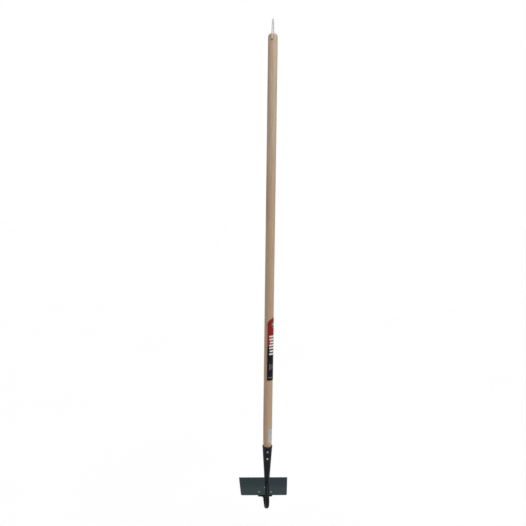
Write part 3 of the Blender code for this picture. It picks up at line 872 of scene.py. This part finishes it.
def build_groups():
    """The shader groups that the finishes share."""
    number, place = "NodeSocketFloat", "NodeSocketVector"

    # Growth rings of a trunk whose heart lies beside the shaft
    inputs = {"Vector": (place, None), "Heart": (place, (0.06, 0.03, 0.0)), "Ring Width": (number, 0.0034)}
    tree, given, out = new_group("Growth Rings", inputs, {"Early": number, "Pores": number, "Fibre": number})
    drawn = vectors(tree, "MULTIPLY", given["Vector"], (14, 14, 1.5))
    wander = clouds(tree, drawn, 1.0, 1.5)["Color"]
    shift = vectors(tree, "SUBTRACT", wander, (0.5, 0.5, 0.5))
    shift = vectors(tree, "MULTIPLY", shift, (0.020, 0.020, 0.0))
    moved = vectors(tree, "ADD", given["Vector"], shift)
    moved = vectors(tree, "ADD", moved, given["Heart"])
    split = put(tree, "ShaderNodeSeparateXYZ", {0: moved}).outputs
    aside = sums(tree, "ADD", split[0], times(tree, split[2], 0.006))
    squares = sums(tree, "ADD", sums(tree, "POWER", aside, 2.0), sums(tree, "POWER", split[1], 2.0))
    away = sums(tree, "SQRT", squares)
    year = sums(tree, "FRACT", sums(tree, "DIVIDE", away, given["Ring Width"]))
    opening = ramp(tree, year, 0.0, 0.07)
    closing = ramp(tree, year, 0.16, 0.62, 1.0, 0.0)
    early = times(tree, opening, closing)
    tree.links.new(early, out["Early"])
    vessel = grain(tree, given["Vector"], 1.0, 2.0, 0.6, (2600, 2600, 85))
    pores = times(tree, ramp(tree, vessel, 0.56, 0.66), ramp(tree, early, 0.0, 0.8, 0.12, 1.0))
    tree.links.new(pores, out["Pores"])
    tree.links.new(grain(tree, given["Vector"], 1.0, 4.0, 0.65, (900, 900, 14)), out["Fibre"])

    # Rubbing along a piece's sharp edges
    inputs = {"Vector": (place, None), "Start": (number, 0.54), "End": (number, 0.62)}
    inputs["Patch"] = (number, 180.0)
    tree, given, out = new_group("Edge Rub", inputs, {"Rub": number})
    pointed = put(tree, "ShaderNodeNewGeometry").outputs["Pointiness"]
    sharp = ramp(tree, pointed, given["Start"], given["End"])
    patch = clouds(tree, given["Vector"], given["Patch"], 4.0)["Fac"]
    tree.links.new(times(tree, sharp, ramp(tree, patch, 0.42, 0.62)), out["Rub"])

    # Dust and fine marks on any finish
    inputs = {"Vector": (place, None), "Scale": (number, 900.0), "Amount": (number, 0.5)}
    tree, given, out = new_group("Dust", inputs, {"Dust": number, "Film": number})
    speck = put(tree, "ShaderNodeTexVoronoi", {"Vector": given["Vector"], "Scale": given["Scale"]})
    dot = ramp(tree, speck.outputs["Distance"], 0.06, 0.16, 1.0, 0.0)
    rare = clouds(tree, given["Vector"], 60.0, 3.0)["Fac"]
    some = times(tree, dot, ramp(tree, rare, 0.50, 0.62))
    tree.links.new(times(tree, some, given["Amount"]), out["Dust"])
    tree.links.new(times(tree, ramp(tree, rare, 0.35, 0.7), given["Amount"]), out["Film"])

    # Hammer-finish paint: small flat cells with soft walls between them
    inputs = {"Vector": (place, None), "Cell": (number, 0.002)}
    tree, given, out = new_group("Hammer Cells", inputs, {"Height": number, "Tone": number})
    stir = clouds(tree, given["Vector"], 350.0, 2.0)["Color"]
    stir = vectors(tree, "MULTIPLY", stir, (0.0008,) * 3)
    vector = vectors(tree, "ADD", given["Vector"], stir)
    scale = sums(tree, "DIVIDE", 1.0, given["Cell"])
    inputs = {"Vector": vector, "Scale": scale, "Smoothness": 0.6}
    depth = put(tree, "ShaderNodeTexVoronoi", inputs, feature="SMOOTH_F1").outputs["Distance"]
    tree.links.new(depth, out["Height"])
    tree.links.new(ramp(tree, depth, 0.15, 0.75), out["Tone"])

    # One rounded patch of ink on a flat print
    inputs = {"Print": (place, None), "Center": (place, (0, 0, 0)), "Half": (place, (1, 1, 0))}
    inputs["Corner"] = (number, 0.1)
    tree, given, out = new_group("Ink Patch", inputs, {"Ink": number})
    off = vectors(tree, "SUBTRACT", given["Print"], given["Center"])
    off = vectors(tree, "ABSOLUTE", off)
    off = vectors(tree, "SUBTRACT", off, given["Half"])
    off = vectors(tree, "ADD", off, given["Corner"])
    off = vectors(tree, "MAXIMUM", off, (0, 0, 0))
    flat = vectors(tree, "MULTIPLY", off, (1, 1, 0))
    reach = vectors(tree, "LENGTH", flat)
    beyond = sums(tree, "SUBTRACT", reach, given["Corner"])
    tree.links.new(ramp(tree, beyond, -0.0012, 0.0012, 1.0, 0.0, "LINEAR"), out["Ink"])


def new_finish(name):
    """A material with its shader and the piece's own coordinates."""
    made = bpy.data.materials.new(name)
    made.use_nodes = True
    tree = made.node_tree
    shader = tree.nodes["Principled BSDF"]
    return made, tree, shader, tree.nodes.new("ShaderNodeTexCoord").outputs


def bump(tree, shader, height, distance, strength=1.0, onto=None):
    inputs = {"Height": height, "Distance": distance, "Strength": strength}
    made = put(tree, "ShaderNodeBump", inputs)
    if onto is not None:
        tree.links.new(onto, made.inputs["Normal"])
    tree.links.new(made.outputs["Normal"], shader.inputs["Normal"])
    return made.outputs["Normal"]


def feed(tree, shader, **sources):
    """Link or set shader sockets by their names, written with underscores."""
    for label, source in sources.items():
        socket = shader.inputs[label.replace("_", " ")]
        if isinstance(source, bpy.types.NodeSocket):
            tree.links.new(source, socket)
        else:
            socket.default_value = source


def ash_finish(settings):
    made, tree, shader, coords = new_finish("ash")
    own = coords["Object"]
    rings = use_group(tree, "Growth Rings", {"Vector": own, "Ring Width": settings.ring_width})
    broad = grain(tree, own, 1.0, 3.0, 0.5, (26, 26, 3.2))
    color = blend(tree, ramp(tree, rings["Fibre"], 0.30, 0.72), settings.pale, settings.dark)
    color = blend(tree, times(tree, rings["Early"], 0.62), color, settings.dark)
    color = tinted(tree, ramp(tree, broad, 0.42, 0.68, 0.0, 0.75), color, (1.06, 0.93, 0.86))
    color = blend(tree, times(tree, rings["Pores"], 0.55), color, (0.16, 0.098, 0.06))
    ray = grain(tree, own, 1.0, 1.0, 0.5, (1500, 1500, 260))
    color = blend(tree, ramp(tree, ray, 0.70, 0.78, 0.0, 0.35), color, (0.62, 0.50, 0.39))
    split = put(tree, "ShaderNodeSeparateXYZ", {0: own}).outputs
    # Darker, patchy wood round the cross hole, and painted shade darkening the wood inside it
    off = vectors(tree, "SUBTRACT", own, tuple(HINGE))
    lever = vectors(tree, "CROSS_PRODUCT", off, tuple(HOLE_AXIS))
    from_hole = vectors(tree, "LENGTH", lever)
    smudge = grain(tree, own, 420, 3.0)
    halo = times(tree, ramp(tree, from_hole, 0.0027, 0.0058, 0.55, 0.0), ramp(tree, smudge, 0.3, 0.7))
    color = blend(tree, halo, color, (0.13, 0.083, 0.052))
    # Painted shade: the bore wall of the cross hole is darkened
    color = blend(tree, ramp(tree, from_hole, 0.0023, 0.0028, 0.88, 0.0), color, (0.055, 0.034, 0.021))
    # End grain of the crown drinks more finish, and painted shade darkens the foot just above the rim where
    # the shaft enters the socket
    crown = ramp(tree, split[2], SHAFT_TOP_Z - 0.007, SHAFT_TOP_Z - 0.001, 0.0, 0.34)
    color = blend(tree, crown, color, settings.dark)
    foot = ramp(tree, split[2], RIM_Z + 0.0006, RIM_Z + 0.006, 0.55, 0.0)
    color = blend(tree, times(tree, foot, ramp(tree, smudge, 0.35, 0.6)), color, (0.10, 0.075, 0.055))
    # Painted light: paler and greyer towards the top; painted shade: darker and browner towards the socket
    upper = ramp(tree, split[2], SHAFT_TOP_Z - 0.42, SHAFT_TOP_Z - 0.03, 0.0, 1.0, "LINEAR")
    color = tinted(tree, upper, color, (1.16, 1.28, 1.34))
    lower = ramp(tree, split[2], RIM_Z + 0.35, RIM_Z + 0.95, 1.0, 0.0, "LINEAR")
    color = tinted(tree, lower, color, (0.92, 0.87, 0.80))
    dust = use_group(tree, "Dust", {"Vector": own, "Scale": 700.0, "Amount": 0.25})
    color = blend(tree, dust["Dust"], color, (0.12, 0.09, 0.06))
    silk = ramp(tree, rings["Fibre"], 0.2, 0.8, 0.44, 0.56)
    gloss = sums(tree, "ADD", silk, times(tree, rings["Pores"], 0.2))
    feed(tree, shader, Base_Color=color, Roughness=gloss, Specular_IOR_Level=0.35)
    feed(tree, shader, Coat_Weight=0.15, Coat_Roughness=0.35)
    sunk = sums(tree, "ADD", rings["Pores"], rings["Early"])
    relief = sums(tree, "SUBTRACT", times(tree, rings["Fibre"], 0.25), sunk)
    bump(tree, shader, relief, 0.00010, 0.55)
    return made


def wire_finish(settings):
    made, tree, shader, coords = new_finish("galvanised_wire")
    own = coords["Object"]
    spangle = put(tree, "ShaderNodeTexVoronoi", {"Vector": own, "Scale": 900.0}).outputs["Color"]
    tone = put(tree, "ShaderNodeSeparateColor", {0: spangle}).outputs[0]
    color = blend(tree, tone, [c * 0.86 for c in settings.color], settings.color)
    stain = grain(tree, own, 260, 4.0)
    color = blend(tree, ramp(tree, stain, 0.55, 0.72, 0.0, 0.55), color, (0.30, 0.29, 0.27))
    drawn = grain(tree, own, 1.0, 2.0, 0.5, (5200, 5200, 180))
    rub = use_group(tree, "Edge Rub", {"Vector": own, "Patch": 400.0})
    color = blend(tree, rub["Rub"], color, (0.72, 0.71, 0.69))
    feed(tree, shader, Base_Color=color, Metallic=0.6, Roughness=ramp(tree, drawn, 0.3, 0.7, 0.36, 0.52))
    bump(tree, shader, sums(tree, "ADD", drawn, stain), 0.00004, 0.4)
    return made


def enamel_finish(settings):
    made, tree, shader, coords = new_finish("black_enamel")
    own = coords["Object"]
    scale = grain(tree, own, 130, 5.0, 0.62)
    peel = grain(tree, own, 1500, 2.0, 0.5)
    color = blend(tree, ramp(tree, scale, 0.35, 0.7), settings.color, [c * 1.7 for c in settings.color])
    rub = use_group(tree, "Edge Rub", {"Vector": own, "Start": 0.56, "End": 0.68, "Patch": 260.0})
    bare = times(tree, rub["Rub"], 0.6)
    color = blend(tree, bare, color, (0.15, 0.15, 0.155))
    split = put(tree, "ShaderNodeSeparateXYZ", {0: own}).outputs
    # A warm brown band just under the rim, painted gap shading where the shaft enters
    rim = ramp(tree, split[2], RIM_Z - 0.010, RIM_Z - 0.001, 0.0, 0.30)
    color = blend(tree, times(tree, rim, ramp(tree, scale, 0.42, 0.6)), color, (0.045, 0.032, 0.026))
    dust = use_group(tree, "Dust", {"Vector": own, "Scale": 820.0, "Amount": 0.45})
    color = blend(tree, dust["Dust"], color, (0.09, 0.085, 0.08))
    color = blend(tree, times(tree, dust["Film"], 0.10), color, (0.06, 0.058, 0.056))
    gloss = sums(tree, "ADD", ramp(tree, scale, 0.3, 0.7, 0.36, 0.50), times(tree, dust["Film"], 0.2))
    feed(tree, shader, Base_Color=color, Roughness=gloss, Specular_IOR_Level=0.15)
    feed(tree, shader, Metallic=times(tree, bare, 0.8))
    first = bump(tree, shader, scale, 0.0006, 0.45)
    bump(tree, shader, peel, 0.00006, 0.5, first)
    return made


def blade_finish(settings):
    made, tree, shader, coords = new_finish("green_grey_enamel")
    own = coords["Object"]
    cells = use_group(tree, "Hammer Cells", {"Vector": own, "Cell": 0.0021})
    split = put(tree, "ShaderNodeSeparateXYZ", {0: own}).outputs
    drift = sums(tree, "ADD", split[0], times(tree, grain(tree, own, 22, 2.0), 0.05))
    color = blend(tree, ramp(tree, drift, 0.0, 0.065), settings.green, settings.blue)
    color = tinted(tree, cells["Tone"], color, (0.62, 0.64, 0.66))
    # Painted light: the back of the blade up to the crease is lightened for the bent plate's brighter inner
    # face
    painted_inner_light = ramp(tree, split[1], BLADE_BACK_Y + 0.030, BLADE_BACK_Y + 0.060, 0.85, 0.0)
    color = tinted(tree, painted_inner_light, color, (2.05, 1.72, 1.62))
    # Painted shade darkens the plate near the cutting edge, where the ground bevel underneath faces away,
    # with fine grinding lines across the bevel
    edge_y = BLADE_BOX[1].y
    ground = ramp(tree, split[1], edge_y - 0.0056, edge_y - 0.0044)
    lines = grain(tree, own, 1.0, 2.0, 0.5, (2400, 160, 160))
    color = blend(tree, times(tree, ground, 0.5), color, (0.022, 0.028, 0.030))
    rub = use_group(tree, "Edge Rub", {"Vector": own, "Start": 0.56, "End": 0.70, "Patch": 150.0})
    bare = times(tree, rub["Rub"], 0.5)
    color = blend(tree, bare, color, (0.11, 0.12, 0.12))
    dust = use_group(tree, "Dust", {"Vector": own, "Scale": 640.0, "Amount": 0.4})
    color = blend(tree, dust["Dust"], color, (0.13, 0.135, 0.13))
    scuff = grain(tree, own, 1.0, 3.0, 0.6, (60, 420, 420))
    color = blend(tree, ramp(tree, scuff, 0.66, 0.74, 0.0, 0.25), color, (0.10, 0.115, 0.115))
    silk = ramp(tree, cells["Tone"], 0.0, 1.0, 0.42, 0.52)
    gloss = sums(tree, "ADD", silk, times(tree, dust["Film"], 0.25))
    feed(tree, shader, Base_Color=color, Roughness=gloss, Specular_IOR_Level=0.20)
    feed(tree, shader, Metallic=times(tree, bare, 0.8))
    height = blend(tree, ground, cells["Height"], lines)
    bump(tree, shader, height, 0.00022, 0.55)
    return made


def rivet_finish(name, pale, dark, metal, rough):
    made, tree, shader, coords = new_finish(name)
    own = coords["Object"]
    patch = grain(tree, own, 900, 4.0, 0.6)
    color = blend(tree, ramp(tree, patch, 0.38, 0.64), pale, dark)
    rub = use_group(tree, "Edge Rub", {"Vector": own, "Start": 0.52, "End": 0.60, "Patch": 900.0})
    color = blend(tree, times(tree, rub["Rub"], 0.6), color, [min(1, c * 1.5) for c in pale])
    dust = use_group(tree, "Dust", {"Vector": own, "Scale": 1800.0, "Amount": 0.2})
    color = blend(tree, dust["Dust"], color, (0.05, 0.045, 0.04))
    gloss = ramp(tree, patch, 0.3, 0.7, rough, rough + 0.14)
    feed(tree, shader, Base_Color=color, Metallic=metal, Roughness=gloss)
    bump(tree, shader, patch, 0.00012, 0.5)
    return made


def print_patches(tree, coords, patches):
    """One ink mask from several patches, each (across, up, half across, half up, corner) in millimetres."""
    ink = None
    for across, up, half_across, half_up, corner in patches:
        inputs = {
            "Print": coords["UV"],
            "Center": (across / 100, up / 100, 0),
            "Half": (half_across / 100, half_up / 100, 1),
            "Corner": corner / 100,
        }
        one = use_group(tree, "Ink Patch", inputs)["Ink"]
        ink = one if ink is None else sums(tree, "MAXIMUM", ink, one)
    return ink


def label_finish(settings):
    made, tree, shader, coords = new_finish("label_film")
    split = put(tree, "ShaderNodeSeparateXYZ", {0: coords["UV"]}).outputs
    color = blend(tree, ramp(tree, split[1], 1.083, 1.087, kind="LINEAR"), settings.lower, settings.upper)
    # Plain bars for the big print, a disc with a sprout, thin rules and a pale strip of painted highlight
    # down both side edges
    bars = [(15.2, 84.5 + 9.3 * i, 8.6 - 1.5 * (i % 3 == 1), 2.6, 1.6) for i in range(7)]
    rules = [(8.0 + 4.2 * i, 43.5, 0.75, 10.5 - 2.0 * i, 0.4) for i in range(4)]
    disc = [(22.4, 175.5, 10.5, 10.5, 10.5)]
    ring = [(22.4, 175.5, 8.9, 8.9, 8.9)]
    field = [(22.4, 175.5, 8.2, 8.2, 8.2)]
    sprout = [(22.4, 172.5, 0.7, 5.0, 0.6), (18.9, 178.0, 3.0, 1.9, 1.9), (25.9, 178.0, 3.0, 1.9, 1.9)]
    color = blend(tree, print_patches(tree, coords, disc), color, (0.010, 0.009, 0.012))
    color = blend(tree, print_patches(tree, coords, ring), color, (0.55, 0.52, 0.50))
    color = blend(tree, print_patches(tree, coords, field), color, (0.028, 0.026, 0.030))
    color = blend(tree, print_patches(tree, coords, sprout), color, (0.60, 0.58, 0.55))
    color = blend(tree, print_patches(tree, coords, bars), color, (0.66, 0.64, 0.63))
    color = blend(tree, print_patches(tree, coords, rules), color, (0.17, 0.17, 0.20))
    line = [(22.4, 9.5, 18.5, 0.55, 0.3)]
    color = blend(tree, print_patches(tree, coords, line), color, (0.30, 0.30, 0.33))
    # Painted highlight: a pale strip down both side edges of the film
    painted_edge_highlight = [(0.2, 88.0, 0.35, 88.0, 0.1), (44.6, 88.0, 0.35, 88.0, 0.1)]
    color = blend(tree, print_patches(tree, coords, painted_edge_highlight), color, (0.45, 0.40, 0.38))
    own = coords["Object"]
    rub = grain(tree, own, 1.0, 4.0, 0.6, (700, 700, 260))
    color = blend(tree, ramp(tree, rub, 0.64, 0.74, 0.0, 0.22), color, (0.35, 0.30, 0.28))
    dust = use_group(tree, "Dust", {"Vector": own, "Scale": 900.0, "Amount": 0.35})
    color = blend(tree, dust["Dust"], color, (0.25, 0.23, 0.21))
    gloss = ramp(tree, rub, 0.3, 0.7, 0.34, 0.46)
    feed(tree, shader, Base_Color=color, Roughness=gloss, Specular_IOR_Level=0.14)
    bump(tree, shader, sums(tree, "ADD", rub, grain(tree, own, 90, 2.0)), 0.00012, 0.35)
    return made


def ticket_finish():
    made, tree, shader, coords = new_finish("ticket_paper")
    own = coords["Object"]
    fibre = grain(tree, own, 1600, 4.0, 0.6)
    color = blend(tree, ramp(tree, fibre, 0.3, 0.7), (0.48, 0.465, 0.46), (0.40, 0.385, 0.38))
    rungs = [(9.9, 4.0 + 2.6 * i, 2.8, 0.62, 0.1) for i in range(14) if i not in (6, 7)]
    color = blend(tree, print_patches(tree, coords, rungs), color, (0.21, 0.20, 0.20))
    rules = [(3.6, 30.0, 0.5, 11.0, 0.1), (5.2, 22.0, 0.4, 15.0, 0.1)]
    color = blend(tree, print_patches(tree, coords, rules), color, (0.30, 0.285, 0.275))
    dust = use_group(tree, "Dust", {"Vector": own, "Scale": 1100.0, "Amount": 0.5})
    color = blend(tree, dust["Dust"], color, (0.22, 0.19, 0.16))
    feed(tree, shader, Base_Color=color, Roughness=ramp(tree, fibre, 0.3, 0.7, 0.55, 0.68))
    bump(tree, shader, fibre, 0.00006, 0.5)
    return made


# Operators


class HOE_OT_shaft(bpy.types.Operator):
    """Turn the ash shaft, bore its holes and give it its grain"""

    bl_idname = "hoe.shaft"
    bl_label = "Ash Shaft"

    def execute(self, context):
        settings = context.scene.draw_hoe.shaft
        make_shaft(settings, ash_finish(settings))
        return {"FINISHED"}


class HOE_OT_loop(bpy.types.Operator):
    """Bend the wire hanging loop and set it in the cross hole"""

    bl_idname = "hoe.loop"
    bl_label = "Hanging Loop"

    def execute(self, context):
        settings = context.scene.draw_hoe.loop
        make_loop(settings, wire_finish(settings))
        return {"FINISHED"}


class HOE_OT_forging(bpy.types.Operator):
    """Draw out the socket, swan neck and palm as one forging"""

    bl_idname = "hoe.forging"
    bl_label = "Socket and Swan Neck"

    def execute(self, context):
        settings = context.scene.draw_hoe.forging
        make_forging(settings, enamel_finish(settings))
        return {"FINISHED"}


class HOE_OT_blade(bpy.types.Operator):
    """Cut, bend and paint the plate blade"""

    bl_idname = "hoe.blade"
    bl_label = "Plate Blade"

    def execute(self, context):
        settings = context.scene.draw_hoe.blade
        make_blade(settings, blade_finish(settings))
        return {"FINISHED"}


class HOE_OT_rivets(bpy.types.Operator):
    """Set the socket's two rivets and the blade's three"""

    bl_idname = "hoe.rivets"
    bl_label = "Rivets"

    def execute(self, context):
        # The two socket rivets are the same zinc in two colours: painted reflection, cooler and darker on
        # the upper, warmer and brighter from the floor on the lower
        upper = rivet_finish("zinc_rivet_cool_painted_reflection", (0.265, 0.275, 0.320), (0.200, 0.210, 0.250), 0.10, 0.34)
        lower = rivet_finish("zinc_rivet_warm_painted_reflection", (0.410, 0.400, 0.390), (0.330, 0.320, 0.310), 0.05, 0.32)
        painted = rivet_finish("painted_rivet", (0.34, 0.36, 0.36), (0.15, 0.17, 0.17), 0.2, 0.40)
        finishes = dict.fromkeys(BLADE_RIVETS, painted)
        finishes.update(zip(SOCKET_RIVETS, (upper, lower)))
        make_rivets(context.scene.draw_hoe.rivets, finishes)
        return {"FINISHED"}


class HOE_OT_stickers(bpy.types.Operator):
    """Wrap the printed label and the small ticket on the shaft"""

    bl_idname = "hoe.stickers"
    bl_label = "Label and Ticket"

    def execute(self, context):
        settings = context.scene.draw_hoe.stickers
        paper = settings.paper
        make_wrap("wrap_label", "shaft_label", label_finish(settings), paper, LABEL_CORNER, "label_film")
        make_wrap("small_ticket", "price_sticker", ticket_finish(), paper, TICKET_CORNER, "ticket_paper")
        return {"FINISHED"}


class HOE_OT_stage(bpy.types.Operator):
    """Lay the pale floor and set the soft lights and the camera"""

    bl_idname = "hoe.stage"
    bl_label = "Stage"

    def execute(self, context):
        scene = context.scene
        scene.view_settings.view_transform = "Standard"
        lay_floor(scene)
        light_world(scene)
        add_light("overhead", (0.12, -0.16, 1.0), 2.75, math.radians(60))
        add_light("front", (1.0, -0.75, 0.35), 0.95, math.radians(45))
        aim_camera(scene, scene.draw_hoe.stage)
        return {"FINISHED"}


def lay_floor(scene):
    bm = bmesh.new()
    bmesh.ops.create_grid(bm, x_segments=8, y_segments=8, size=FLOOR_HALF)
    bmesh.ops.translate(bm, verts=bm.verts, vec=(0, 0, CAD_BOX[0].z - FLOOR_DROP))
    made, tree, shader, coords = new_finish("pale_floor")
    cloud = grain(tree, coords["Object"], 1.4, 2.0)
    color = blend(tree, cloud, (0.93, 0.93, 0.93), (0.95, 0.95, 0.95))
    feed(tree, shader, Base_Color=color, Roughness=0.9, Specular_IOR_Level=0.0)
    link("floor", piece_mesh("floor", bm), made)


def light_world(scene):
    """A white surround that lights the object more softly than it shows."""
    world = bpy.data.worlds.new("studio")
    world.use_nodes = True
    tree = world.node_tree
    background = tree.nodes["Background"]
    background.inputs["Color"].default_value = (1, 1, 1, 1)
    seen = put(tree, "ShaderNodeLightPath").outputs["Is Camera Ray"]
    tree.links.new(ramp(tree, seen, 0, 1, 0.12, 1.0, "LINEAR"), background.inputs["Strength"])
    scene.world = world


def add_light(name, side, strength, spread):
    """A far, wide light that comes from one side."""
    data = bpy.data.lights.new(name, "SUN")
    data.energy = strength
    data.angle = spread
    obj = bpy.data.objects.new(name, data)
    bpy.context.scene.collection.objects.link(obj)
    obj.rotation_euler = Vector(side).to_track_quat("Z", "Y").to_euler()


def aim_camera(scene, settings):
    data = bpy.data.cameras.new("camera")
    data.sensor_width = 36
    data.lens = LENS
    data.clip_end = 60
    camera = bpy.data.objects.new("camera", data)
    scene.collection.objects.link(camera)
    turn, pitch, roll = settings.turn, settings.pitch, settings.roll
    ahead = Vector((-math.sin(turn) * math.cos(pitch), math.cos(turn) * math.cos(pitch), -math.sin(pitch)))
    right = Vector((math.cos(turn), math.sin(turn), 0))
    up = right.cross(ahead)
    place = Vector((settings.distance * math.sin(turn), -settings.distance * math.cos(turn), 0))
    place += Vector((0, 0, RIM_Z + settings.height)) - right * settings.aside
    right, up = right * math.cos(roll) + up * math.sin(roll), up * math.cos(roll) - right * math.sin(roll)
    stand = Matrix((right, up, -ahead)).transposed().to_4x4()
    stand.translation = place
    camera.matrix_world = stand
    scene.camera = camera


class HOE_PT_panel(bpy.types.Panel):
    """Lists the hoe's pieces with their sizes and colours"""

    bl_label = "Draw Hoe"
    bl_idname = "HOE_PT_panel"
    bl_space_type = "VIEW_3D"
    bl_region_type = "UI"
    bl_category = "Draw Hoe"

    def draw(self, context):
        settings = context.scene.draw_hoe
        for piece in PIECES:
            box = self.layout.box()
            box.operator(f"hoe.{piece}")
            group = getattr(settings, piece)
            for label in group.bl_rna.properties.keys():
                if label not in ("rna_type", "name"):
                    box.prop(group, label)


PIECES = ("shaft", "loop", "forging", "blade", "rivets", "stickers", "stage")

CLASSES = (
    ShaftSettings,
    LoopSettings,
    ForgingSettings,
    BladeSettings,
    RivetSettings,
    StickerSettings,
    StageSettings,
    DrawHoeSettings,
    HOE_OT_shaft,
    HOE_OT_loop,
    HOE_OT_forging,
    HOE_OT_blade,
    HOE_OT_rivets,
    HOE_OT_stickers,
    HOE_OT_stage,
    HOE_PT_panel,
)


def register():
    for cls in CLASSES:
        bpy.utils.register_class(cls)
    bpy.types.Scene.draw_hoe = PointerProperty(type=DrawHoeSettings)


def unregister():
    del bpy.types.Scene.draw_hoe
    for cls in reversed(CLASSES):
        bpy.utils.unregister_class(cls)


def main():
    register()
    build_groups()
    for piece in PIECES:
        getattr(bpy.ops.hoe, piece)()


if __name__ == "__main__":
    main()
